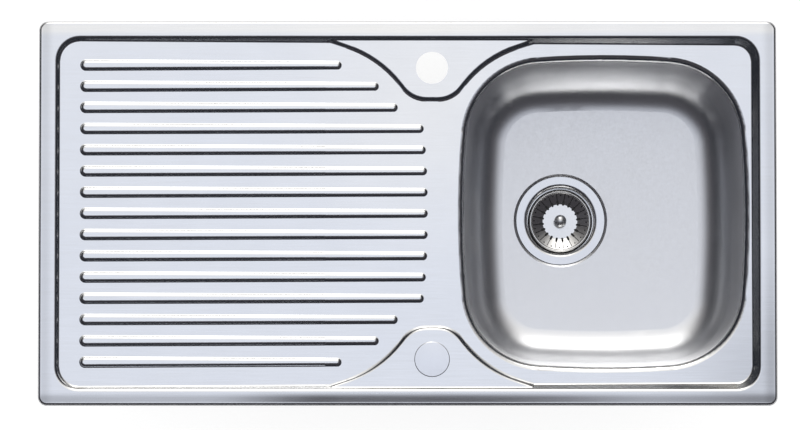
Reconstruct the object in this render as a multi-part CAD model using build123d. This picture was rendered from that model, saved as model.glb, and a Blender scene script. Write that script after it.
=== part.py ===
from build123d import *
from math import asin, atan, cos, degrees, radians, sin, tan
import os

# An inset kitchen sink with one bowl and a ribbed drainboard, in millimetres.
# X runs along the sink with the bowl at +X, Y runs to the back with the tap hole at +Y, and Z is up.
# The origin is the centre of the rim's outline, on the worktop's upper face.

# ---- pressed top ----
sink_length = 940.0
sink_width = 490.0
gauge = 0.8                    # stainless sheet
rim_height = 5.0               # top of the rim above the worktop
rim_corner_radius = 11.0
rim_edge_radius = 3.5          # rounding along the rim's outer edge
skirt_gap = 0.5                # turned-down edge to worktop

rim_width_ends = 22.0          # sink's edge to the recess, at the left and right
rim_width_sides = 20.0         # the same at the front and back
recess_corner_radius = 30.0
step_angle = 47.0              # slope of the pressed steps, from the horizontal
recess_edge_radius = 5.0       # rim into the step
recess_foot_radius = 3.0       # step into the deck
deck_depth_left = 4.2          # below the rim's top, at the recess's left edge
deck_depth_right = 9.8         # below the rim's top, at the recess's right edge

ledge_setback = 40.7           # middle of both tap ledges to the bowl's mouth
ledge_depth = 3.4              # below the rim's top
ledge_reach = 77.3             # nose of a ledge from the recess's edge
ledge_nose_flat = 7.3          # half the straight stretch of the nose
ledge_nose_radius = 35.0
ledge_flank_angle = 52.0
ledge_flank_length = 7.0
ledge_flare_radius = 144.0
ledge_flare_angle = 18.0       # direction in which the flare runs out under the rim
ledge_edge_radius = 3.0
ledge_foot_radius = 3.5

rib_count = 15
rib_margin = 35.5              # outermost ribs to the recess's front and back edges
rib_start_gap = 31.0           # recess's left edge to the ribs
rib_end_gap = 46.5             # middle rib's end to the bowl's mouth
rib_start_width = 13.5
rib_end_width = 10.0
rib_height = 2.4
rib_angle = 45.0
rib_edge_radius = 4.2
rib_foot_radius = 2.0
# How much sooner each rib ends than the middle one, from the outermost inwards: past a ledge, then along
# the bowl.
rib_setbacks = (109.8, 62.6, 38.3, 5.1, 2.5, 0.9, 0.2, 0.0)

tap_hole_setback = 39.0        # from the recess's edge
tap_hole_radius = 20.5

# ---- bowl ----
bowl_length = 356.6            # inside, at the mouth
bowl_end_gap = 19.7            # mouth to the recess's right edge
bowl_side_gap = 30.2           # mouth to the recess's front and back edges
bowl_side_radius = 1300.0      # the sides bow out a little
bowl_corner_radius = 97.0
bowl_lip_radius = 8.0          # deck into the bowl
bowl_depth = 150.0             # rim's top to the bowl's floor
bowl_wall_angle = 85.0
bowl_floor_radius = 43.5       # wall into the floor
weld_z = -14.0                 # where the deck's lip ends and the bowl is welded on

# ---- waste ----
waste_setback = 126.8          # waste's axis from the left of the bowl's mouth
waste_hole_radius = 45.0
waste_recess_radius = 60.7
waste_recess_depth = 1.8
waste_recess_angle = 27.0       # slope of its wall
flange_radius = 57.0
mouth_radius = 4.7             # rounding from the flange into the throat
throat_radius = 43.0
shoulder_depth = 24.0          # seat of the stopper, below the bowl's floor
sump_radius = 35.0
sump_depth = 43.2
lower_seal_thickness = 3.0
cup_spokes = 6
cup_spoke_width = 6.0
cup_window_outer = 31.0
cup_window_inner = 11.0

housing_flange_radius = 56.0
housing_flange = 4.0
housing_wall = 3.4
housing_clearance = 1.0        # steel cup to plastic housing
housing_depth = 57.0           # floor of the bowl to the end of the cup
outlet_ledge = 3.0             # cup to the start of the funnel
funnel_height = 12.0
outlet_radius = 23.9           # 1 1/2 inch pipe thread, drawn at its outer diameter
outlet_wall = 3.9
outlet_length = 26.0
hub_radius = 10.0
hub_top_gap = 2.0              # under the cup's bottom
hub_height = 18.0
hub_ribs = 3
hub_rib_width = 3.0
hub_rib_gap = 4.0              # under the cup's bottom
hub_rib_height = 8.0
insert_radius = 8.0
insert_height = 12.0
screw_radius = 5.0
screw_head_radius = 9.0
screw_head_height = 3.7
screw_length = 18.0            # below the cup's bottom
thread_clearance = 0.05

# ---- strainer ----
stem_radius = 3.0
stem_clearance = 0.08          # stem in the hollow screw
stem_reach = 14.0              # of the stem below the cup's bottom
rest_gap = 0.3                 # rubber above its seat
stopper_radius = 42.0
stopper_thickness = 2.4
basket_gauge = 0.7
basket_disc_radius = 22.5
basket_rim_radius = 40.5
basket_rim_width = 4.0
basket_rim_rise = 1.2
basket_height = 4.8            # disc to the rim's edge
slot_count = 20
slot_inner = 21.0
slot_outer = 27.0
slot_width = 2.8
slit_outer = 35.6              # end of the fine slit that carries each slot on
slit_width = 0.9
slot_turn = 7.4                # of the first slot from X, in degrees
basket_hole_place = 34.0
basket_hole_radius = 0.9
knob_radius = 7.8
knob_neck_radius = 5.0
knob_height = 10.5
knob_neck_height = 2.4
knob_dome = 3.0
knob_gap = 6.5                 # basket's disc to the knob's neck
knob_socket = 6.0              # stem's hold in the knob

# ---- fixing to the worktop ----
rim_overlap = 10.0             # of the rim on the worktop, all round the cut-out
worktop_thickness = 38.0
rim_seal_width = 6.0
rail_gauge = 1.0
rail_gap = 1.0                 # rail to the edge of the cut-out
rail_foot = 6.5
rail_drop = 8.0                # below the worktop's face
rail_lip = 3.5
rail_end_gap = 70.0            # rail's end to the corner of the cut-out
clip_end_gap = 90.0            # outer clips to the rail's ends
clip_shift = -10.0
clip_reach = 14.0              # screw's axis to the edge of the cut-out
bracket_gauge = 1.5
bracket_width = 16.0
bracket_drop = 16.0
bracket_hook = 3.2
bracket_play = 1.0             # bracket to the rail's lip
shelf_margin = 6.0             # beyond the screw's axis
clip_screw_radius = 2.5
clip_screw_rise = 6.0          # above the shelf
clip_head_radius = 4.2
clip_head_height = 3.5
claw_gauge = 2.0
claw_width = 14.0
claw_grip = 18.0               # of the claw under the worktop
claw_clearance = 0.08          # around its screw
claw_lift = 8.0                # height of the upturned tip
body_gap = 0.3                 # between bodies that move past each other
slot_in_head = 1.0

# ---- blanking cover of the second tap hole ----
cover_radius = 22.5
cover_gauge = 0.8
cover_crown = 0.4              # of its middle over its edge
cover_edge_radius = 0.9
cover_edge_gap = 0.3
cover_gasket_thickness = 1.0
cover_gasket_inner = 15.0
cover_gasket_outer = 21.3
cover_stud_radius = 3.0
cover_stud_length = 26.0
washer_radius = 24.0
washer_thickness = 2.0
wing_hub_radius = 5.5
wing_hub_height = 7.0
wing_span = 15.0
wing_height = 10.0
wing_corner_radius = 3.3
wing_thickness = 2.2

# ---- sound pads ----
pad_thickness = 2.0
bowl_pad_length = 96.0
bowl_pad_width = 200.0
bowl_pad_gap = 10.0            # to the waste's recess
drainer_pad_start = 103.0      # from the recess's left edge
drainer_pad_end = 156.7        # from the bowl's mouth
drainer_pad_margin = 65.0      # from the recess's front and back edges

# ---- values that follow from the ones above ----
recess_length = sink_length - 2 * rim_width_ends
recess_width = sink_width - 2 * rim_width_sides
bowl_width = recess_width - 2 * bowl_side_gap
bowl_x = recess_length / 2 - bowl_end_gap - bowl_length / 2
bowl_left = bowl_x - bowl_length / 2
ledge_x = bowl_left - ledge_setback
ledge_nose_y = recess_width / 2 - ledge_reach
tap_hole_y = recess_width / 2 - tap_hole_setback
waste_x = bowl_left + waste_setback
cutout_length = sink_length - 2 * rim_overlap
cutout_width = sink_width - 2 * rim_overlap
deck_slope = degrees(atan((deck_depth_right - deck_depth_left) / recess_length))
deck_plane = Plane(
    origin=(-recess_length / 2, 0, rim_height - deck_depth_left),
    x_dir=(cos(radians(deck_slope)), 0, -sin(radians(deck_slope))),
    z_dir=(sin(radians(deck_slope)), 0, cos(radians(deck_slope))),
)
floor_z = rim_height - bowl_depth
ledge_z = rim_height - ledge_depth
under_rim_z = rim_height - gauge
tool_depth = 40.0              # reach of cutting tools below the deck
tool_margin = 25.0             # of the ground beyond the recess
rib_root = 2.5                 # of a rib's body below the deck
near = 1e-3


def miter(depth, angle):
    """Shift of an outline when the wall below it, at an angle, is offset by depth."""
    return depth * tan(radians(angle) / 2)


def run(height, angle):
    """Horizontal run of a wall of this height at an angle from the horizontal."""
    return height / tan(radians(angle))


def rising(outline, height, angle):
    """A solid that narrows upward."""
    return extrude(outline, height, taper=90 - angle)


def sunk(outline, depth, angle):
    """A solid that narrows downward from its outline, which is symmetric about X."""
    return Rot(180, 0, 0) * rising(outline, depth, angle)


def turned(points):
    """A ring or disc about Z from points of radius and height."""
    return revolve(Plane.XZ * make_face(Polyline(*points, close=True)), Axis.Z)


def tube(outer, inner, low, high):
    """A plain ring between two heights."""
    return turned([(inner, low), (outer, low), (outer, high), (inner, high)])


def disc(radius, low, high):
    return Pos(0, 0, (low + high) / 2) * Cylinder(radius, high - low)


def block(low, high):
    """A box between two corners."""
    size = [b - a for a, b in zip(low, high)]
    middle = [(a + b) / 2 for a, b in zip(low, high)]
    return Pos(*middle) * Box(*size)


def level_edges(solid, plane, offset):
    """Edges that lie in a plane shifted along its normal."""
    def inside(edge):
        return all(abs(plane.to_local_coords(edge @ share).Z - offset) < near for share in (0, 0.5, 1))
    return [edge for edge in solid.edges() if inside(edge)]


def spread_inside(edges, half_width):
    """Leaves out the edges on the two long sides of a block of that half width."""
    return [edge for edge in edges if abs((edge @ 0.5).Y) < half_width - near]


def save(shape, node):
    shape.label = node
    export_step(shape, f"parts/{node}.step")


# ---- pressed top ----
def ledge_outline(growth):
    """A tap ledge about its middle line: a nose, two flanks and two flares that run out sideways."""
    nose_y = ledge_nose_y - growth
    nose_radius = ledge_nose_radius + growth
    flare_radius = ledge_flare_radius - growth
    steep = radians(ledge_flank_angle)
    shallow = radians(ledge_flare_angle)

    def on_nose(angle):
        return (ledge_nose_flat + nose_radius * sin(angle), nose_y + nose_radius * (1 - cos(angle)))

    flank_start = on_nose(steep)
    flank_end = (
        flank_start[0] + ledge_flank_length * cos(steep),
        flank_start[1] + ledge_flank_length * sin(steep),
    )
    flare_centre = (
        flank_end[0] + flare_radius * sin(steep),
        flank_end[1] - flare_radius * cos(steep),
    )

    def on_flare(angle):
        return (flare_centre[0] - flare_radius * sin(angle), flare_centre[1] + flare_radius * cos(angle))

    flare_end = on_flare(shallow)
    back_y = recess_width / 2 + 2 * tool_margin
    far_end = (flare_end[0] + (back_y - flare_end[1]) / tan(shallow), back_y)
    nose_start = (ledge_nose_flat, nose_y)
    edges = [Line((-nose_start[0], nose_y), nose_start), Line((-far_end[0], back_y), far_end)]
    path = (
        nose_start, on_nose(steep / 2), flank_start,
        flank_end, on_flare((steep + shallow) / 2), flare_end, far_end,
    )
    for side in (1, -1):
        points = [(side * x, y) for x, y in path]
        edges.append(ThreePointArc(*points[0:3]))
        edges.append(Line(*points[2:4]))
        edges.append(ThreePointArc(*points[3:6]))
        edges.append(Line(*points[5:7]))
    return make_face(edges)


def rib(end_x, y, depth):
    """One drainer rib in the deck's frame, from below the deck to its rounded top, offset by depth."""
    growth = run(rib_root, rib_angle) - miter(depth, rib_angle)
    start_radius = rib_start_width / 2 + growth
    end_radius = rib_end_width / 2 + growth
    start = rib_start_gap - recess_length / 2 + rib_start_width / 2
    end = end_x - rib_end_width / 2
    lean = asin((start_radius - end_radius) / (end - start))
    start_x = start + start_radius * sin(lean)
    start_y = start_radius * cos(lean)
    end_x = end + end_radius * sin(lean)
    end_y = end_radius * cos(lean)
    outline = make_face([
        Line((start_x, -start_y), (end_x, -end_y)),
        ThreePointArc((end_x, -end_y), (end + end_radius, 0), (end_x, end_y)),
        Line((end_x, end_y), (start_x, start_y)),
        ThreePointArc((start_x, start_y), (start - start_radius, 0), (start_x, -start_y)),
    ])
    solid = rising(outline, rib_root + rib_height, rib_angle)
    solid = fillet(solid.edges().group_by(Axis.Z)[-1], rib_edge_radius - depth)
    return deck_plane * Pos(recess_length / 2, y, -depth - rib_root) * solid


def deck_loops(solid, depth):
    """The closed loops inside the deck's face: one round each rib, and the bowl's mouth where it is cut."""
    faces = [f for f in solid.faces() if abs(deck_plane.to_local_coords(f.center()).Z + depth) < near]
    return max(faces, key=lambda face: face.area).inner_wires()


def ground(depth):
    """Everything under the deck, with its ledges and ribs, offset down by depth."""
    length = recess_length + 2 * tool_margin
    half_width = recess_width / 2 + tool_margin
    solid = deck_plane * block(
        (-tool_margin, -2 * half_width, -tool_depth - depth),
        (length - tool_margin, 2 * half_width, -depth),
    )
    growth = run(tool_depth / 2, step_angle) - miter(depth, step_angle)
    ledge = rising(ledge_outline(growth), tool_depth / 2, step_angle)
    ledge = Pos(ledge_x, 0, ledge_z - depth - tool_depth / 2) * ledge
    solid = solid + ledge + mirror(ledge, Plane.XZ)
    solid &= Box(2 * length, 2 * half_width, 4 * tool_depth)
    edges = level_edges(solid, Plane.XY.offset(ledge_z - depth), 0)
    solid = fillet(spread_inside(edges, half_width), ledge_edge_radius - depth)
    feet = level_edges(solid, deck_plane, -depth)
    feet = [edge for edge in feet if abs((edge @ 0.5).X) < recess_length / 2]
    solid = fillet(spread_inside(feet, half_width), ledge_foot_radius + depth)
    pitch = (recess_width - 2 * rib_margin) / (rib_count - 1)
    for number in range(rib_count):
        setback = rib_setbacks[min(number, rib_count - 1 - number)]
        y = rib_margin - recess_width / 2 + number * pitch
        solid += rib(bowl_left - rib_end_gap - setback, y, depth)
    feet = [edge for loop in deck_loops(solid, depth) for edge in loop.edges()]
    return fillet(feet, rib_foot_radius + depth)


def recess(depth):
    """The room above the deck: a pit with sloping sides, less the ground in it."""
    growth = miter(depth, step_angle)
    outline = RectangleRounded(
        recess_length + 2 * growth, recess_width + 2 * growth, recess_corner_radius + growth
    )
    top = rim_height - depth
    room = Pos(0, 0, top) * sunk(outline, tool_depth / 2, step_angle) - ground(depth)
    walls = [f for f in room.faces() if f.bounding_box().max.Z > top - near > f.bounding_box().min.Z]
    edges = ShapeList(edge for wall in walls for edge in wall.edges())
    feet = ShapeList(edge for edge in edges if edge.bounding_box().max.Z < top - near)
    # One radius serves both faces of the sheet, so this bend is a few hundredths thicker.
    return fillet(feet, recess_foot_radius)


def bowl_outline(growth):
    """The bowl's mouth: four long arcs joined by rounded corners."""
    radius = bowl_side_radius + growth
    along = radius - bowl_length / 2 - growth
    across = radius - bowl_width / 2 - growth
    disc_face = Circle(radius)
    outline = Pos(along, 0) * disc_face & Pos(-along, 0) * disc_face
    outline = outline & Pos(0, across) * disc_face & Pos(0, -across) * disc_face
    return fillet(outline.vertices(), bowl_corner_radius + growth)


def top_core(depth):
    """Everything under the sink's upper surface, offset by depth: rim, recess and the bowl's mouth."""
    outline = RectangleRounded(sink_length - 2 * depth, sink_width - 2 * depth, rim_corner_radius - depth)
    top = rim_height - depth
    solid = Pos(0, 0, -tool_depth - depth) * extrude(outline, tool_depth + depth + top)
    solid -= recess(depth)
    rim = solid.faces().sort_by(Axis.Z)[-1]
    solid = fillet(rim.inner_wires()[0].edges(), recess_edge_radius - depth)
    rim = solid.faces().sort_by(Axis.Z)[-1]
    solid = fillet(rim.outer_wire().edges(), rim_edge_radius - depth)
    solid -= Pos(bowl_x, 0, -2 * tool_depth) * extrude(bowl_outline(depth), 3 * tool_depth)
    mouth = max(deck_loops(solid, depth), key=lambda loop: loop.length)
    return fillet(mouth.edges(), bowl_lip_radius - depth)


def sink_top():
    """The pressed sheet, with its skirt trimmed above the worktop and its lip trimmed for the weld."""
    sheet = top_core(0) - top_core(gauge)
    half_length = sink_length / 2
    half_width = sink_width / 2
    inner_length = (half_length + recess_length / 2) / 2
    inner_width = (half_width + recess_width / 2) / 2
    kept = block((-half_length, -half_width, skirt_gap), (half_length, half_width, tool_depth))
    kept += block((-inner_length, -inner_width, weld_z), (inner_length, inner_width, tool_depth))
    sheet &= kept
    for side in (1, -1):
        sheet -= Pos(ledge_x, side * tap_hole_y, 0) * Cylinder(tap_hole_radius, tool_depth)
    return sheet


# ---- bowl ----
def bowl_shell(depth):
    """The bowl's cavity, offset outward by depth, with the recess of the waste pressed into its floor."""
    outline = bowl_outline(depth / sin(radians(bowl_wall_angle)))
    solid = Pos(0, 0, weld_z) * sunk(outline, weld_z - floor_z + depth, bowl_wall_angle)
    floor = solid.faces().sort_by(Axis.Z)[0]
    solid = Pos(bowl_x, 0, 0) * fillet(floor.edges(), bowl_floor_radius + depth)
    wide = waste_recess_radius + miter(depth, waste_recess_angle)
    narrow = wide - run(waste_recess_depth, waste_recess_angle)
    low = floor_z - waste_recess_depth - depth
    high = low + waste_recess_depth
    return solid + Pos(waste_x, 0, 0) * turned([(0, low), (narrow, low), (wide, high), (0, high)])


def bowl():
    hole = Pos(waste_x, 0, floor_z) * Cylinder(waste_hole_radius, tool_depth)
    return bowl_shell(gauge) - bowl_shell(0) - hole


# ---- waste, in its own frame with the bowl's floor at height 0 ----
at_waste = Pos(waste_x, 0, floor_z)
cup_bottom = -sump_depth - gauge
recess_floor = -waste_recess_depth
housing_bore = throat_radius + gauge + housing_clearance
housing_outer = housing_bore + housing_wall
seat_z = -shoulder_depth + rest_gap


def waste_flange():
    """The steel cup: flange, rounded mouth, throat, shoulder and a bottom with windows."""
    centre = (throat_radius + mouth_radius, -mouth_radius)

    def on_mouth(radius, angle):
        return (centre[0] - radius * cos(radians(angle)), centre[1] + radius * sin(radians(angle)))

    inner = mouth_radius
    outer = mouth_radius - gauge
    bore = screw_radius + thread_clearance
    section = make_face([
        Line((flange_radius, 0), on_mouth(inner, 90)),
        ThreePointArc(on_mouth(inner, 90), on_mouth(inner, 45), on_mouth(inner, 0)),
        Polyline(
            on_mouth(inner, 0),
            (throat_radius, -shoulder_depth),
            (sump_radius, -shoulder_depth),
            (sump_radius, -sump_depth),
            (bore, -sump_depth),
            (bore, cup_bottom),
            (sump_radius + gauge, cup_bottom),
            (sump_radius + gauge, -shoulder_depth - gauge),
            (throat_radius + gauge, -shoulder_depth - gauge),
            on_mouth(outer, 0),
        ),
        ThreePointArc(on_mouth(outer, 0), on_mouth(outer, 45), on_mouth(outer, 90)),
        Polyline(on_mouth(outer, 90), (flange_radius, -gauge), (flange_radius, 0)),
    ])
    cup = revolve(Plane.XZ * section, Axis.Z)
    windows = tube(cup_window_outer, cup_window_inner, cup_bottom - gauge, gauge - sump_depth)
    for number in range(cup_spokes // 2):
        spoke = Box(2 * flange_radius, cup_spoke_width, 4 * gauge)
        windows -= Rot(0, 0, number * 360 / cup_spokes) * Pos(0, 0, cup_bottom) * spoke
    return cup - windows


def flange_seal():
    return tube(flange_radius - gauge, throat_radius + mouth_radius, recess_floor, -gauge)


def lower_seal():
    top = recess_floor - gauge
    return tube(housing_flange_radius, waste_hole_radius, top - lower_seal_thickness, top)


def waste_housing():
    """The plastic cup under the bowl: a flange, a wall and a hub on three ribs."""
    top = recess_floor - gauge - lower_seal_thickness
    body = turned([
        (housing_bore, top), (housing_flange_radius, top),
        (housing_flange_radius, top - housing_flange), (housing_outer, top - housing_flange),
        (housing_outer, -housing_depth), (housing_bore, -housing_depth),
    ])
    hub_top = cup_bottom - hub_top_gap
    rib_top = cup_bottom - hub_rib_gap
    web = block(
        (0, -hub_rib_width / 2, rib_top - hub_rib_height),
        (housing_bore + housing_wall / 2, hub_rib_width / 2, rib_top),
    )
    for number in range(hub_ribs):
        body += Rot(0, 0, number * 360 / hub_ribs) * web
    body += disc(hub_radius, hub_top - hub_height, hub_top)
    return body - disc(insert_radius, hub_top - hub_height - gauge, hub_top + gauge)


def waste_outlet():
    """The plastic end cap, welded under the cup: a ledge, a funnel and the outlet."""
    funnel_low = -housing_depth - outlet_ledge - funnel_height
    outlet_low = funnel_low - outlet_length
    outlet_bore = outlet_radius - outlet_wall
    return turned([
        (housing_bore, -housing_depth), (housing_outer, -housing_depth),
        (housing_outer, -housing_depth - outlet_ledge), (outlet_radius, funnel_low),
        (outlet_radius, outlet_low), (outlet_bore, outlet_low), (outlet_bore, funnel_low),
        (housing_bore, -housing_depth - outlet_ledge / 2),
    ])


def waste_insert():
    top = cup_bottom - hub_top_gap
    return tube(insert_radius, screw_radius + thread_clearance, top - insert_height, top)


def waste_screw():
    """The hollow centre screw that draws cup and housing together and guides the stem."""
    top = screw_head_height - sump_depth
    screw = disc(screw_head_radius, -sump_depth, top)
    screw += disc(screw_radius, cup_bottom - screw_length, -sump_depth)
    screw -= disc(stem_radius + stem_clearance, cup_bottom - screw_length - gauge, top + gauge)
    slot = Box(2 * screw_head_radius, 2 * slot_in_head, 2 * slot_in_head)
    return screw - Pos(0, 0, top) * slot


# ---- strainer, in the waste's frame ----
disc_z = seat_z + stopper_thickness + basket_gauge


def basket():
    """A dished strainer: a flat disc, a shallow wall with slots, slits and holes, and a beaded rim."""
    rise = disc_z + basket_height
    wall_radius = basket_rim_radius - basket_rim_width
    bead_radius = basket_rim_radius - basket_rim_width / 2
    under = disc_z - basket_gauge
    slant = miter(basket_gauge, degrees(atan(basket_height / (wall_radius - basket_disc_radius))))
    section = make_face([
        Polyline(
            (stem_radius, under), (stem_radius, disc_z), (basket_disc_radius, disc_z), (wall_radius, rise)
        ),
        ThreePointArc((wall_radius, rise), (bead_radius, rise + basket_rim_rise), (basket_rim_radius, rise)),
        Polyline(
            (basket_rim_radius, rise), (basket_rim_radius, rise - basket_gauge),
            (wall_radius + slant, rise - basket_gauge), (basket_disc_radius + slant, under),
            (stem_radius, under),
        ),
    ])
    slot = SlotCenterToCenter(slot_outer - slot_inner - slot_width, slot_width)
    slot = Pos((slot_outer + slot_inner) / 2, 0, disc_z - tool_depth / 2) * extrude(slot, tool_depth)
    slit_length = slit_outer - slot_outer + slot_width
    slot += Pos(slit_outer - slit_length / 2, 0, disc_z) * Box(slit_length, slit_width, tool_depth)
    hole = Pos(basket_hole_place, 0, disc_z) * Cylinder(basket_hole_radius, tool_depth)
    pitch = 360 / slot_count
    cutters = []
    for number in range(slot_count):
        cutters.append(Rot(0, 0, number * pitch) * slot)
        cutters.append(Rot(0, 0, (number + 0.5) * pitch) * hole)
    return Rot(0, 0, slot_turn) * (revolve(Plane.XZ * section, Axis.Z) - cutters)


def stopper_rubber():
    return tube(stopper_radius, stem_radius, seat_z, seat_z + stopper_thickness)


def stem():
    return disc(stem_radius, cup_bottom - stem_reach, disc_z + knob_gap + knob_socket)


def knob():
    """A round grip with a domed top, a chamfered underside and a neck."""
    base = disc_z + knob_gap
    neck_top = base + knob_neck_height
    side_low = neck_top + knob_radius - knob_neck_radius
    top = base + knob_height + knob_neck_height
    shoulder = top - knob_dome
    dome_radius = (knob_radius ** 2 + knob_dome ** 2) / (2 * knob_dome)
    rise = dome_radius - (dome_radius ** 2 - (knob_radius / 2) ** 2) ** 0.5
    section = make_face([
        Polyline(
            (0, top), (0, base), (knob_neck_radius, base), (knob_neck_radius, neck_top),
            (knob_radius, side_low), (knob_radius, shoulder),
        ),
        ThreePointArc((knob_radius, shoulder), (knob_radius / 2, top - rise), (0, top)),
    ])
    return revolve(Plane.XZ * section, Axis.Z) - disc(stem_radius, base - gauge, base + knob_socket)


# ---- fixing, in a frame on the cut-out's edge with Y pointing out over the worktop ----
def side_frames():
    """The four edges of the cut-out: name, frame, rail length and the clips' places along the rail."""
    half_length = cutout_length / 2
    half_width = cutout_width / 2
    long_rail = cutout_length - 2 * rail_end_gap
    short_rail = cutout_width - 2 * rail_end_gap
    spacing = long_rail / 2 - clip_end_gap
    back_places = [clip_shift + spacing * step for step in (-1, 0, 1)]
    front_places = [-place for place in back_places]
    return (
        ("back", Location((0, half_width, 0), (0, 0, 0)), long_rail, back_places),
        ("front", Location((0, -half_width, 0), (0, 0, 180)), long_rail, front_places),
        ("left", Location((-half_length, 0, 0), (0, 0, 90)), short_rail, [0.0]),
        ("right", Location((half_length, 0, 0), (0, 0, -90)), short_rail, [0.0]),
    )


def along_edge(section, length):
    """A strip along X from a section in Y and Z."""
    return Pos(-length / 2, 0, 0) * extrude(Plane.YZ * make_face(Polyline(*section, close=True)), length)


def clip_rail(length):
    """A strip with a foot welded under the rim, a web and a lip turned inward."""
    outer = -rail_gap
    inner = outer - rail_gauge
    return along_edge([
        (outer, under_rim_z), (outer, -rail_drop),
        (inner - rail_lip, -rail_drop), (inner - rail_lip, rail_gauge - rail_drop),
        (inner, rail_gauge - rail_drop), (inner, under_rim_z - rail_gauge),
        (outer - rail_foot, under_rim_z - rail_gauge), (outer - rail_foot, under_rim_z),
    ], length)


shelf_z = -bracket_drop
head_low = -worktop_thickness - claw_lift - body_gap - clip_head_height


def clip_bracket():
    """A bent strip that hooks over the rail's lip and carries the screw on a shelf."""
    hook = -rail_gap - rail_gauge - rail_lip + bracket_hook - bracket_play
    back = -rail_gap - rail_gauge - rail_lip - bracket_play
    hook_low = rail_gauge - rail_drop
    shelf_end = -clip_reach - shelf_margin
    strip = along_edge([
        (hook, hook_low), (hook, hook_low + bracket_gauge),
        (back - bracket_gauge, hook_low + bracket_gauge), (back - bracket_gauge, shelf_z + bracket_gauge),
        (shelf_end, shelf_z + bracket_gauge), (shelf_end, shelf_z), (back, shelf_z), (back, hook_low),
    ], bracket_width)
    hole = Cylinder(clip_screw_radius + thread_clearance, 4 * bracket_gauge)
    return strip - Pos(0, -clip_reach, shelf_z) * hole


def clip_screw():
    top = shelf_z + bracket_gauge + clip_screw_rise
    head_top = head_low + clip_head_height
    screw = disc(clip_head_radius, head_low, head_top) + disc(clip_screw_radius, head_top, top)
    screw -= Pos(0, 0, head_low) * Box(2 * clip_head_radius, slot_in_head, 2 * slot_in_head)
    return Pos(0, -clip_reach, 0) * screw


def claw():
    """A lever, turned in along the edge, that swings out so its upturned tip grips the worktop."""
    low = head_low + clip_head_height + body_gap
    tip = clip_reach + claw_grip
    half = claw_width / 2
    lever = disc(half, low, low + claw_gauge)
    lever += block((0, -half, low), (tip, half, low + claw_gauge))
    lever += block((tip - claw_gauge, -half, low), (tip, half, -worktop_thickness - body_gap))
    lever -= Pos(0, 0, low) * Cylinder(clip_screw_radius + claw_clearance, 4 * claw_gauge)
    return Pos(0, -clip_reach, 0) * lever


def rim_seal():
    """A foam strip between the rim and the worktop, just inside the rim's rounded edge."""
    inset = 2 * rim_edge_radius
    radius = rim_corner_radius - rim_edge_radius
    outer = RectangleRounded(sink_length - inset, sink_width - inset, radius)
    inset += 2 * rim_seal_width
    inner = RectangleRounded(sink_length - inset, sink_width - inset, radius - rim_seal_width)
    return extrude(outer - inner, under_rim_z)


# ---- blanking cover, about its hole's axis with the ledge at height 0 ----
at_cover = Pos(ledge_x, -tap_hole_y, ledge_z)


def plug_cover():
    """A nearly flat cap with a rounded, turned-down edge and a stud."""
    inner_radius = cover_radius - cover_gauge
    seat = cover_gasket_thickness
    edge_top = seat + cover_gauge
    dome_radius = (cover_radius ** 2 + cover_crown ** 2) / (2 * cover_crown)
    rise = (dome_radius ** 2 - (cover_radius / 2) ** 2) ** 0.5 - dome_radius + cover_crown
    section = make_face([
        Line((0, seat), (0, edge_top + cover_crown)),
        ThreePointArc(
            (0, edge_top + cover_crown), (cover_radius / 2, edge_top + rise), (cover_radius, edge_top)
        ),
        Polyline(
            (cover_radius, edge_top), (cover_radius, cover_edge_gap), (inner_radius, cover_edge_gap),
            (inner_radius, seat), (0, seat),
        ),
    ])
    corner = section.vertices().group_by(Axis.X)[-1].sort_by(Axis.Y)[-1]
    section = fillet(corner, cover_edge_radius)
    return revolve(Plane.XZ * section, Axis.Z) + disc(cover_stud_radius, -cover_stud_length, seat)


def plug_gasket():
    return tube(cover_gasket_outer, cover_gasket_inner, 0, cover_gasket_thickness)


def plug_washer():
    hole = cover_stud_radius + thread_clearance
    return tube(washer_radius, hole, -gauge - washer_thickness, -gauge)


def plug_wing_nut():
    top = -gauge - washer_thickness
    nut = disc(wing_hub_radius, top - wing_hub_height, top)
    wing = block((0, -wing_thickness / 2, -wing_height), (wing_span, wing_thickness / 2, 0))
    wing = fillet(wing.edges().filter_by(Axis.Y).group_by(Axis.X)[-1], wing_corner_radius)
    for turn in (0, 180):
        nut += Pos(0, 0, top - gauge) * Rot(0, 0, turn) * wing
    return nut - disc(cover_stud_radius + thread_clearance, top - tool_depth, top + gauge)


# ---- sound pads ----
def bowl_pad():
    start = waste_x + waste_recess_radius + bowl_pad_gap
    top = floor_z - gauge
    half_width = bowl_pad_width / 2
    return block((start, -half_width, top - pad_thickness), (start + bowl_pad_length, half_width, top))


def drainer_pad():
    end = bowl_left + recess_length / 2 - drainer_pad_end
    half_width = recess_width / 2 - drainer_pad_margin
    return deck_plane * block(
        (drainer_pad_start, -half_width, -gauge - pad_thickness), (end, half_width, -gauge)
    )


os.makedirs("parts", exist_ok=True)
save(sink_top(), "sink_top")
save(bowl(), "bowl")
save(bowl_pad(), "bowl_pad")
save(drainer_pad(), "drainer_pad")
save(rim_seal(), "rim_seal")

for make in (waste_flange, flange_seal, lower_seal, waste_housing, waste_outlet, waste_insert, waste_screw):
    save(at_waste * make(), make.__name__)
for make in (basket, stopper_rubber, stem, knob):
    save(at_waste * make(), make.__name__)
for make in (plug_cover, plug_gasket, plug_washer, plug_wing_nut):
    save(at_cover * make(), make.__name__)

brackets = []
screws = []
for side, frame, rail_length, places in side_frames():
    save(frame * clip_rail(rail_length), f"clip_rail_{side}")
    for place in places:
        at_clip = frame * Pos(place, 0, 0)
        brackets.append(at_clip * clip_bracket())
        screws.append(at_clip * clip_screw())
        save(at_clip * claw(), f"claw_{len(screws)}")
save(Compound(children=brackets), "clip_brackets")
save(Compound(children=screws), "clip_screws")
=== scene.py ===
import math

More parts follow.
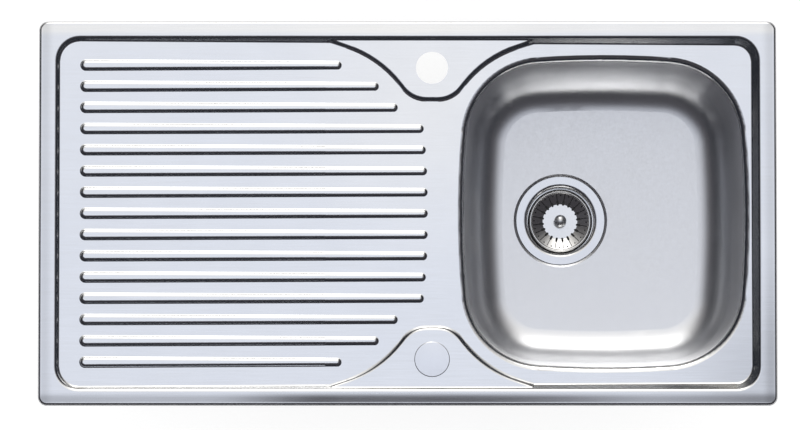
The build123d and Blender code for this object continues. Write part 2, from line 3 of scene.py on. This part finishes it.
import bpy
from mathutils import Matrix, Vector


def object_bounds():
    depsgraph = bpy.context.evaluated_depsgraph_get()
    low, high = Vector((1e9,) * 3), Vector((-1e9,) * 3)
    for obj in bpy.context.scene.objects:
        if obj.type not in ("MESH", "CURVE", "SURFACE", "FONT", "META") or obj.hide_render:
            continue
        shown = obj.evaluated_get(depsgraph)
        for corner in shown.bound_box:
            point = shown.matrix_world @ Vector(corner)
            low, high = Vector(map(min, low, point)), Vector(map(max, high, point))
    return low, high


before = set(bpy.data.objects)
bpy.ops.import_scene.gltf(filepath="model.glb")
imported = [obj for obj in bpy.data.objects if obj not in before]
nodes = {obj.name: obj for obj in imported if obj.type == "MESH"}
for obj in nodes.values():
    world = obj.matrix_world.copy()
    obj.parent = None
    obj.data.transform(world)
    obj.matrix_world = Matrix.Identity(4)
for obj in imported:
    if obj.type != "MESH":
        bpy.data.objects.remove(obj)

# Metres, in the frame of the CAD: X along the sink to the bowl, Y to the back, Z up from the worktop.
cad_low, cad_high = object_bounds()
scene = bpy.context.scene
MM = 0.001

# ---- the photograph's view, from nearly straight above ----
PHOTO_WIDTH = 800                       # pixels
SENSOR_WIDTH = 36.0                     # millimetres
SINK_CENTRE_PIXEL = (407.7, 213.1)      # middle of the sink's outline in the photograph
IMAGE_CENTRE_PIXEL = (400.0, 215.0)
METRES_PER_PIXEL = 1.2726 * MM
CAMERA_DISTANCE = 7.3
CAMERA_TILT = math.radians(3.73)        # towards the front of the sink
CLIP_END = 100.0


def make_camera():
    """The photograph's camera, aimed at what lies in the middle of the picture."""
    data = bpy.data.cameras.new("camera")
    data.sensor_width = SENSOR_WIDTH
    data.lens = SENSOR_WIDTH * CAMERA_DISTANCE / (PHOTO_WIDTH * METRES_PER_PIXEL)
    data.clip_end = CLIP_END
    camera = bpy.data.objects.new("camera", data)
    scene.collection.objects.link(camera)
    aim = Vector((
        (IMAGE_CENTRE_PIXEL[0] - SINK_CENTRE_PIXEL[0]) * METRES_PER_PIXEL,
        (SINK_CENTRE_PIXEL[1] - IMAGE_CENTRE_PIXEL[1]) * METRES_PER_PIXEL,
        cad_high.z,
    ))
    away = Vector((0, -math.sin(CAMERA_TILT), math.cos(CAMERA_TILT)))
    camera.location = aim + CAMERA_DISTANCE * away
    camera.rotation_euler = (CAMERA_TILT, 0, 0)
    scene.camera = camera


# ---- node tree helper ----
class Graph:
    """Adds nodes to a tree and joins them, so that a material reads as a list of steps."""

    def __init__(self, tree):
        self.tree = tree
        tree.nodes.clear()

    def add(self, kind, **values):
        node = self.tree.nodes.new("ShaderNode" + kind)
        for name, value in values.items():
            setattr(node, name, value)
        return node

    def join(self, source, target):
        self.tree.links.new(source, target)

    def put(self, socket, value):
        if isinstance(value, bpy.types.NodeSocket):
            self.join(value, socket)
        else:
            socket.default_value = value

    def math(self, operation, *values, clamp=False):
        node = self.add("Math", operation=operation, use_clamp=clamp)
        for socket, value in zip(node.inputs, values):
            self.put(socket, value)
        return node.outputs[0]

    def vector(self, operation, *values):
        node = self.add("VectorMath", operation=operation)
        for socket, value in zip(node.inputs, values):
            self.put(socket, value)
        return node.outputs["Value" if operation == "DOT_PRODUCT" else "Vector"]

    def ramp(self, value, low, high, to_low=0.0, to_high=1.0, smooth=True):
        """Maps value from low..high to to_low..to_high, held outside it."""
        node = self.add("MapRange", interpolation_type="SMOOTHSTEP" if smooth else "LINEAR", clamp=True)
        for name, number in (("From Min", low), ("From Max", high), ("To Min", to_low), ("To Max", to_high)):
            self.put(node.inputs[name], number)
        self.put(node.inputs["Value"], value)
        return node.outputs["Result"]

    def product(self, *values):
        total = values[0]
        for value in values[1:]:
            total = self.math("MULTIPLY", total, value)
        return total

    def split(self, vector):
        """The three parts of a vector."""
        node = self.add("SeparateXYZ")
        self.join(vector, node.inputs[0])
        return node.outputs

    def facing(self):
        """The surface's own normal."""
        return self.add("NewGeometry").outputs["Normal"]

    def mix_colour(self, share, first, second):
        """The Mix node holds its two colours in sockets 6 and 7 and gives the result in socket 2."""
        node = self.add("Mix", data_type="RGBA")
        self.put(node.inputs[0], share)
        self.put(node.inputs[6], first)
        self.put(node.inputs[7], second)
        return node.outputs[2]

    def mix_shader(self, share, first, second):
        node = self.add("MixShader")
        for socket, source in zip(node.inputs, (share, first, second)):
            self.join(source, socket)
        return node.outputs[0]

    def background(self, colour, strength):
        node = self.add("Background")
        self.put(node.inputs["Color"], colour)
        self.put(node.inputs["Strength"], strength)
        return node.outputs[0]

    def noise(self, vector, scale, detail, roughness):
        node = self.add("TexNoise")
        self.put(node.inputs["Vector"], vector)
        node.inputs["Scale"].default_value = scale
        node.inputs["Detail"].default_value = detail
        node.inputs["Roughness"].default_value = roughness
        return node.outputs["Fac"]

    def stretched(self, vector, scale):
        node = self.add("Mapping")
        self.put(node.inputs["Vector"], vector)
        node.inputs["Scale"].default_value = scale
        return node.outputs["Vector"]

    def leaning(self, slope_x, slope_y, slope_z=0.0):
        """The surface's normal, leaned over by some slopes, as of a sheet that isn't quite flat."""
        lean = self.add("CombineXYZ")
        for socket, slope in zip(lean.inputs, (slope_x, slope_y, slope_z)):
            self.put(socket, slope)
        return self.vector("NORMALIZE", self.vector("ADD", self.facing(), lean.outputs[0]))

    def bump(self, height, strength, distance, normal=None):
        node = self.add("Bump")
        node.inputs["Strength"].default_value = strength
        node.inputs["Distance"].default_value = distance
        self.put(node.inputs["Height"], height)
        if normal is not None:
            self.put(node.inputs["Normal"], normal)
        return node.outputs["Normal"]


# ---- light ----
# A white strip hangs over the sink and runs down behind it, brighter towards the back. Metal mirrors it and
# the dark room beside and in front. Plastic, rubber and the floor get an even light, and the picture itself
# shows white. A direction is given by its sines: x along the sink, y to the back, z up.
WHITE = (1.0, 1.0, 1.0, 1.0)
STRIP_HALF_WIDTH = 0.62
STRIP_FRONT = (-0.21, 0.0)              # y where the strip starts and where it is full
OVERHEAD = (0.89, 0.94, 1.06, 1.0)      # cool light straight above
BEHIND = (1.10, 1.09, 1.07, 1.0)        # white light behind the sink
WHITE_FROM = (0.08, 0.22)               # y over which the light turns from cool to white
BRIGHT_FROM = (0.35, 0.90)              # y over which it gains strength
BACK_STRENGTH = 2.9
HORIZON = (0.30, 0.285, 0.26, 1.0)      # what lies below the strip at the back
HORIZON_RISE = (0.18, 0.42)             # z over which the strip takes over from it
DARK = (0.020, 0.023, 0.030, 1.0)       # the room near the horizon
ROOM = (0.052, 0.050, 0.057, 1.0)       # and above it
ROOM_RISE = (0.40, 0.75)                # z over which the one turns into the other
SOFT_STRENGTH = 0.9                     # the even light


def make_world():
    world = bpy.data.worlds.new("studio")
    scene.world = world
    world.use_nodes = True
    g = Graph(world.node_tree)
    x, y, z = g.split(g.add("TexCoord").outputs["Generated"])
    across = g.ramp(g.math("ABSOLUTE", x), 0.0, STRIP_HALF_WIDTH, 1.0, 0.0)
    strip = g.product(across, g.ramp(y, *STRIP_FRONT))
    above = g.ramp(z, *HORIZON_RISE)
    overhead = g.mix_colour(g.ramp(y, *WHITE_FROM), OVERHEAD, BEHIND)
    lit = g.mix_colour(above, HORIZON, overhead)
    room = g.mix_colour(g.ramp(z, *ROOM_RISE), DARK, ROOM)
    extra = g.product(strip, g.ramp(y, *BRIGHT_FROM, 0.0, BACK_STRENGTH - 1.0), above)

    path = g.add("LightPath")
    mirrored = g.background(g.mix_colour(strip, room, lit), g.math("ADD", extra, 1.0))
    seen = g.background(WHITE, 1.0)
    soft = g.background(WHITE, SOFT_STRENGTH)
    polished = g.mix_shader(path.outputs["Is Camera Ray"], mirrored, seen)
    both = g.mix_shader(path.outputs["Is Diffuse Ray"], polished, soft)
    g.join(both, g.add("OutputWorld").inputs["Surface"])


# ---- floor ----
FLOOR_SIZE = 60.0
FLOOR_GLOW = 0.68                       # what the picture and mirrors see besides the light on it
FLOOR_COLOUR = (0.5, 0.5, 0.5, 1.0)


def make_floor():
    """A white floor under the waste's outlet, which keeps a soft shadow."""
    mesh = bpy.data.meshes.new("floor")
    half = FLOOR_SIZE / 2
    corners = [(x * half, y * half, cad_low.z) for x, y in ((-1, -1), (1, -1), (1, 1), (-1, 1))]
    mesh.from_pydata(corners, [], [range(len(corners))])
    floor = bpy.data.objects.new("floor", mesh)
    scene.collection.objects.link(floor)
    material = bpy.data.materials.new("floor")
    material.use_nodes = True
    g = Graph(material.node_tree)
    path = g.add("LightPath")
    seen = g.math("ADD", path.outputs["Is Camera Ray"], path.outputs["Is Glossy Ray"])
    seen = g.math("ADD", seen, path.outputs["Is Transmission Ray"], clamp=True)
    glow = g.add("Emission")
    g.join(g.math("MULTIPLY", seen, FLOOR_GLOW), glow.inputs["Strength"])
    diffuse = g.add("BsdfDiffuse")
    diffuse.inputs["Color"].default_value = FLOOR_COLOUR
    both = g.add("AddShader")
    g.join(glow.outputs[0], both.inputs[0])
    g.join(diffuse.outputs[0], both.inputs[1])
    g.join(both.outputs[0], g.add("OutputMaterial").inputs["Surface"])
    mesh.materials.append(material)


# ---- materials ----
# A noise is given by its scale, detail and roughness.
LINE_NOISE = (1.0, 3.0, 0.6)            # the brush stretches it
CLOUD_NOISE = (14.0, 3.0, 0.55)
WAVE_NOISE = (7.0, 1.0, 0.4)
MOTTLE_NOISE = (4.0, 0.6)               # detail and roughness, as the scale is the material's own
GRAIN_NOISE = (3.0, 0.6)
NOISE_MIDDLE = (0.3, 0.7)               # most of a noise's values lie between these
LINES_MIDDLE = (0.25, 0.75)
SUM_MIDDLE = (0.7, 1.3)                 # the same for two noises added

# Steel.
TONE_CONTRAST = 0.02
WORN = 0.02                             # how far the roughness wanders with lines and clouds
LINE_DEPTH = 0.02 * MM
ALONG = (18.0, 900.0, 900.0)            # noise scales of a brush that runs along X
STEEP = (0.5, 0.9)                      # upward part of the normal: walls below, floor above
QUARTER_TURN = 0.25
# Painted shade: the dark grey that steel turns to where it isn't polished, on the rim's turned-down edge,
# the undersides and the bowl's outside.
PAINTED_SHADE_GREY = (0.20, 0.20, 0.22, 1.0)
DULL_ROUGHER = 0.15

# Everything else.
MOTTLE_TO_GRAIN = 6                     # times as coarse as the grain
ROUGHNESS_CONTRAST = 0.1
GRAIN_STRENGTH = 0.5


def even(scale):
    """Noise scales of a satin finish without a direction."""
    return (scale, scale, scale)


def shaded(colour, factor):
    return tuple(min(part * factor, 1.0) for part in colour[:3]) + (1.0,)


def mottled(g, noise, colour, contrast):
    """A colour that wanders a little with a noise."""
    share = g.ramp(noise, *NOISE_MIDDLE)
    return g.mix_colour(share, shaded(colour, 1 - contrast), shaded(colour, 1 + contrast))


def new_material(name):
    material = bpy.data.materials.new(name)
    material.use_nodes = True
    g = Graph(material.node_tree)
    shader = g.add("BsdfPrincipled")
    g.join(shader.outputs[0], g.add("OutputMaterial").inputs["Surface"])
    place = g.add("TexCoord").outputs["Object"]
    return material, g, shader, place


def steel(
    name, colour, roughness, spread=0.02, brush=ALONG, wave=0.0, grain=0.04, lean=None, walls=0.0, rough_painted_shade=None
):
    """Stainless steel: fine lines along the brush, faint clouds, and slow waves of a pressed sheet.

    lean is a function for the normal of a sheet that isn't quite flat, and dull is one for the share that
    isn't polished, which is made rougher and darkened to a painted shade. walls is how far the shine of a
    steep wall is drawn out.
    """
    material, g, shader, place = new_material(name)
    shader.inputs["Metallic"].default_value = 1.0
    lines = g.noise(g.stretched(place, brush), *LINE_NOISE)
    clouds = g.noise(place, *CLOUD_NOISE)
    tone = mottled(g, clouds, colour, TONE_CONTRAST)
    worn = g.ramp(g.math("ADD", lines, clouds), *SUM_MIDDLE, -WORN, WORN, smooth=False)
    brushed = g.ramp(lines, *LINES_MIDDLE, roughness - spread, roughness + spread, smooth=False)
    rough = g.math("ADD", brushed, worn)
    # Painted shade: where the steel isn't polished it is darkened to a dark grey, as well as made rougher.
    if rough_painted_shade:
        share = rough_painted_shade(g, place)
        tone = g.mix_colour(share, tone, PAINTED_SHADE_GREY)
        rough = g.math("MULTIPLY_ADD", share, DULL_ROUGHER, rough)
    g.join(tone, shader.inputs["Base Color"])
    g.join(rough, shader.inputs["Roughness"])

    normal = g.bump(lines, grain, LINE_DEPTH, lean(g, place) if lean else None)
    if wave:
        normal = g.bump(g.noise(place, *WAVE_NOISE), 1.0, wave, normal)
    g.join(normal, shader.inputs["Normal"])
    if walls:
        upward = g.split(g.facing())[2]
        g.join(g.ramp(upward, *STEEP, walls, 0.0), shader.inputs["Anisotropic"])
        g.join(g.add("Tangent", direction_type="RADIAL", axis="Z").outputs[0], shader.inputs["Tangent"])
        shader.inputs["Anisotropic Rotation"].default_value = QUARTER_TURN
    return material


def plain(name, colour, roughness, scale, depth, contrast=0.15, metallic=0.0):
    """Rubber, foam, plastic or plating: a mottled colour and a fine grain of some scale and depth."""
    material, g, shader, place = new_material(name)
    shader.inputs["Metallic"].default_value = metallic
    mottle = g.noise(place, scale / MOTTLE_TO_GRAIN, *MOTTLE_NOISE)
    grain = g.noise(place, scale, *GRAIN_NOISE)
    least = roughness * (1 - ROUGHNESS_CONTRAST)
    most = min(roughness * (1 + ROUGHNESS_CONTRAST), 1.0)
    g.join(mottled(g, mottle, colour, contrast), shader.inputs["Base Color"])
    g.join(g.ramp(grain, *NOISE_MIDDLE, least, most), shader.inputs["Roughness"])
    g.join(g.bump(grain, GRAIN_STRENGTH, depth), shader.inputs["Normal"])
    return material


def box_of(name):
    """Low and high corner of a node's box."""
    node = nodes[name]
    axes = list(zip(*[node.matrix_world @ Vector(corner) for corner in node.bound_box]))
    return Vector([min(axis) for axis in axes]), Vector([max(axis) for axis in axes])


# ---- pressed top: where it isn't polished and is darkened to a painted shade, and how its sheet leans ----
EDGE_WIDTH = 3.5 * MM
EDGE_UPWARD = (0.45, 0.80)              # upward part of the normal: rougher and darkened to a painted shade below, polished above
# The rim falls off a little towards its edge, most of all along the middle of the front.
RIM_FALL_OUTSIDE = (2.5 * MM, 5.5 * MM)     # from the edge: level, falling
RIM_FALL_INSIDE = (9.0 * MM, 21.0 * MM)     # from the edge: falling, level
END_SLOPE = math.radians(3.5)
BACK_SLOPE = math.radians(2.6)
FRONT_SLOPE = math.radians(3.4)
FRONT_MIDDLE_SLOPE = math.radians(3.0)  # more than that along the middle
FRONT_MIDDLE_LEFT = (-0.27, -0.10)      # X over which the middle starts
FRONT_MIDDLE_RIGHT = (0.05, 0.42)       # X over which it ends
# The slopes round the two tap ledges are a little gentler than the steps beside the rim.
LEDGE_ENDS = (-0.105, 0.155)
LEDGE_HALF_WIDTH = 0.2195
LEDGE_HEIGHTS = (-0.004, 0.0016)
LEDGE_GENTLER = 0.22
# The deck has two shallow hollows, given by their middle, reach and slopes.
HOLLOWS = (
    ((0.02, 0.12), 0.26, (0.0, 0.030)),
    ((0.45, -0.20), 0.17, (0.045, -0.03)),
)


def edge_painted_shade(g, place):
    """The turned-down outer edge of the rim and the underside aren't polished: they are rougher, and
    darkened to a painted shade.
    """
    x, y, _ = g.split(place)
    upward = g.split(g.facing())[2]
    at_end = g.math("GREATER_THAN", g.math("ABSOLUTE", x), cad_high.x - EDGE_WIDTH)
    at_side = g.math("GREATER_THAN", g.math("ABSOLUTE", y), cad_high.y - EDGE_WIDTH)
    edge = g.product(g.math("MAXIMUM", at_end, at_side), g.ramp(upward, *EDGE_UPWARD, 1.0, 0.0))
    return g.math("MAXIMUM", edge, g.math("LESS_THAN", upward, -EDGE_UPWARD[0]))


def rim_slopes(g, x, y):
    """How the rim leans outwards."""
    def fall(along, half):
        inward = g.math("SUBTRACT", half, g.math("ABSOLUTE", along))
        return g.product(g.ramp(inward, *RIM_FALL_OUTSIDE), g.ramp(inward, *RIM_FALL_INSIDE, 1.0, 0.0))

    middle = g.product(g.ramp(x, *FRONT_MIDDLE_LEFT), g.ramp(x, *FRONT_MIDDLE_RIGHT, 1.0, 0.0))
    front = g.math("MULTIPLY_ADD", middle, FRONT_MIDDLE_SLOPE, FRONT_SLOPE)
    at_back = g.math("GREATER_THAN", y, 0.0)
    at_front = g.math("SUBTRACT", 1.0, at_back)
    across = g.math("SUBTRACT", g.product(at_back, BACK_SLOPE), g.product(at_front, front))
    slope_x = g.product(g.math("SIGN", x), END_SLOPE, fall(x, cad_high.x))
    return slope_x, g.product(across, fall(y, cad_high.y))


def ledge_share(g, x, y, z):
    """1 round the tap ledges, 0 elsewhere."""
    share = g.math("LESS_THAN", g.math("ABSOLUTE", y), LEDGE_HALF_WIDTH)
    for value, (least, most) in ((x, LEDGE_ENDS), (z, LEDGE_HEIGHTS)):
        inside = g.product(g.math("GREATER_THAN", value, least), g.math("LESS_THAN", value, most))
        share = g.product(share, inside)
    return share


def top_lean(g, place):
    """The rim's fall, the deck's hollows and the gentler ledges together."""
    x, y, z = g.split(place)
    slope_x, slope_y = rim_slopes(g, x, y)
    for (middle_x, middle_y), reach, slopes in HOLLOWS:
        away_x = g.math("SUBTRACT", x, middle_x)
        away_y = g.math("SUBTRACT", y, middle_y)
        away = g.math("SQRT", g.math("MULTIPLY_ADD", away_x, away_x, g.product(away_y, away_y)))
        share = g.ramp(away, 0.0, reach, 1.0, 0.0)
        slope_x = g.math("MULTIPLY_ADD", share, slopes[0], slope_x)
        slope_y = g.math("MULTIPLY_ADD", share, slopes[1], slope_y)
    facing_x, facing_y, _ = g.split(g.facing())
    gentler = g.product(ledge_share(g, x, y, z), -LEDGE_GENTLER)
    slope_x = g.math("MULTIPLY_ADD", facing_x, gentler, slope_x)
    slope_y = g.math("MULTIPLY_ADD", facing_y, gentler, slope_y)
    return g.leaning(slope_x, slope_y)


# ---- bowl: where it isn't polished and is darkened to a painted shade, and how its sheet leans ----
FLOOR_FALL = 0.12                       # slope per metre from the waste
FLOOR_LEVEL = (-0.1449, -0.1440)        # heights between which the flat floor's lean ends
BACK_WALL_LEAN = 0.16                   # slope of the top of the back wall
BACK_WALL_HEIGHTS = (-0.060, -0.015)    # heights over which that lean starts
BACK_WALL_FACING = (-0.75, -0.97)       # Y part of the normal over which it starts


def outside_painted_shade(g, place):
    """The bowl is polished only inside; outside it is rougher and darkened to a painted shade."""
    low, high = box_of("bowl")
    mouth = ((low.x + high.x) / 2, (low.y + high.y) / 2, high.z)
    outward = g.vector("SUBTRACT", place, mouth)
    return g.math("GREATER_THAN", g.vector("DOT_PRODUCT", outward, g.facing()), 0.0)


def bowl_lean(g, place):
    """The flat floor falls to the waste, and the top of the back wall leans back."""
    x, y, z = g.split(place)
    low, high = box_of("waste_flange")
    waste = (low + high) / 2
    share = g.ramp(z, *FLOOR_LEVEL, FLOOR_FALL, 0.0)
    slope_x = g.product(g.math("SUBTRACT", waste.x, x), share)
    slope_y = g.product(g.math("SUBTRACT", waste.y, y), share)
    back = g.ramp(g.split(g.facing())[1], *BACK_WALL_FACING, 0.0, BACK_WALL_LEAN)
    return g.leaning(slope_x, slope_y, g.product(back, g.ramp(z, *BACK_WALL_HEIGHTS)))


# ---- what is made of what ----
def dress(material, *names):
    for name in names:
        slots = nodes[name].data.materials
        slots.clear()
        slots.append(material)


def dress_steel():
    deck = steel(
        "deck_steel", (0.84, 0.84, 0.84, 1.0), roughness=0.17, wave=0.25 * MM, lean=top_lean, rough_painted_shade=edge_painted_shade
    )
    bowl = steel(
        "bowl_steel",
        (0.95, 0.955, 0.97, 1.0),
        roughness=0.33,
        brush=even(500.0),
        lean=bowl_lean,
        walls=0.8,
        rough_painted_shade=outside_painted_shade,
    )
    polished = steel("polished_steel", (0.77, 0.77, 0.77, 1.0), roughness=0.13, brush=even(400.0))
    cap = steel("cap_steel", (0.80, 0.80, 0.81, 1.0), roughness=0.14, brush=even(400.0))
    basket = steel("basket_steel", (0.83, 0.82, 0.80, 1.0), roughness=0.16, brush=even(400.0), grain=0.1)
    knob = steel("knob_steel", (0.80, 0.80, 0.80, 1.0), roughness=0.30, spread=0.03, brush=even(300.0))
    dress(deck, "sink_top")
    dress(bowl, "bowl")
    dress(polished, "waste_flange")
    dress(cap, "plug_cover", "waste_screw")
    dress(basket, "basket", "stem")
    dress(knob, "knob")


def dress_fixings():
    zinc = plain("zinc", (0.62, 0.64, 0.66, 1.0), roughness=0.35, scale=900.0, depth=0.03 * MM, metallic=1.0)
    clips = [name for name in nodes if name.startswith(("clip_", "claw_"))]
    dress(zinc, *clips, "plug_washer")


def dress_brass():
    brass = plain(
        "brass",
        (0.83, 0.63, 0.30, 1.0),
        roughness=0.25,
        scale=600.0,
        depth=0.01 * MM,
        contrast=0.05,
        metallic=1.0,
    )
    dress(brass, "waste_insert")


def dress_seals():
    rubber = plain("rubber", (0.03, 0.03, 0.03, 1.0), roughness=0.6, scale=1500.0, depth=0.02 * MM)
    foam = plain("foam", (0.1, 0.1, 0.105, 1.0), roughness=0.9, scale=1200.0, depth=0.2 * MM)
    bitumen = plain("bitumen", (0.11, 0.11, 0.115, 1.0), roughness=0.8, scale=500.0, depth=0.2 * MM)
    dress(rubber, "stopper_rubber", "flange_seal", "lower_seal", "plug_gasket")
    dress(foam, "rim_seal")
    dress(bitumen, "bowl_pad", "drainer_pad")


def dress_plastic():
    grain = {"scale": 700.0, "depth": 0.02 * MM}
    white = plain("white_plastic", (0.82, 0.82, 0.80, 1.0), roughness=0.38, contrast=0.02, **grain)
    black = plain("black_plastic", (0.04, 0.04, 0.04, 1.0), roughness=0.42, **grain)
    dress(white, "waste_housing", "waste_outlet")
    dress(black, "plug_wing_nut")


scene.view_settings.view_transform = "Standard"
make_camera()
make_world()
make_floor()
dress_steel()
dress_fixings()
dress_brass()
dress_seals()
dress_plastic()
